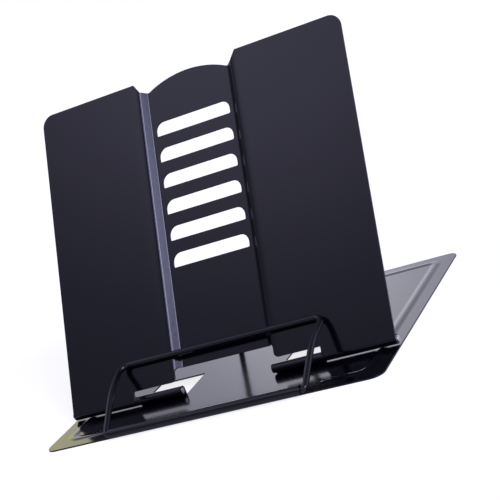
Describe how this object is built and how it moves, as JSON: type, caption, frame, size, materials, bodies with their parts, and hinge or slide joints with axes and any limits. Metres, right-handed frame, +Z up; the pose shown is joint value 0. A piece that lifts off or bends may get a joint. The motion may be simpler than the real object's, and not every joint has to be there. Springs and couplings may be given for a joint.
{
  "type": "folding book stand",
  "caption": "Folding book stand of black sheet steel: base plate, hinged backrest with a sunk channel and slots, wire page holder in front and wire prop behind.",
  "frame": {"origin": "on the table, under the middle of the base plate's front edge", "axes": "+X to the right for a reader in front of the stand, +Y towards the back, +Z up"},
  "size_m": [0.2052, 0.1878, 0.1655],
  "materials": {
    "black_paint": "glossy",
    "black_wire": "glossy",
    "bare_steel": "bright"
  },
  "bodies": {
    "base": {"base_plate": "black_paint", "hinge_pin_left": "bare_steel", "hinge_pin_right": "bare_steel"},
    "backrest": {"backrest": "black_paint"},
    "page_holder": {"page_holder": "black_wire"},
    "prop": {"rear_prop": "black_wire"}
  },
  "joints": [
    {"name": "backrest_fold", "type": "hinge", "parent": "base", "child": "backrest", "pos_m": [0, 0.03988, 0.00398], "axis": [-1, 0, 0], "range_deg": [0, 54.6]},
    {"name": "prop_fold", "type": "hinge", "parent": "base", "child": "prop", "pos_m": [0, 0.118, 0.00265], "axis": [-1, 0, 0], "range_deg": [0, 122.4]},
    {"name": "page_holder_swing", "type": "hinge", "parent": "base", "child": "page_holder", "pos_m": [0, 0.00035, 0.00261], "axis": [1, 0, 0], "range_deg": [0, 148]}
  ],
  "couplings": [
    {"joint": "prop_fold", "follows": "backrest_fold", "ratio": 2.24}
  ]
}
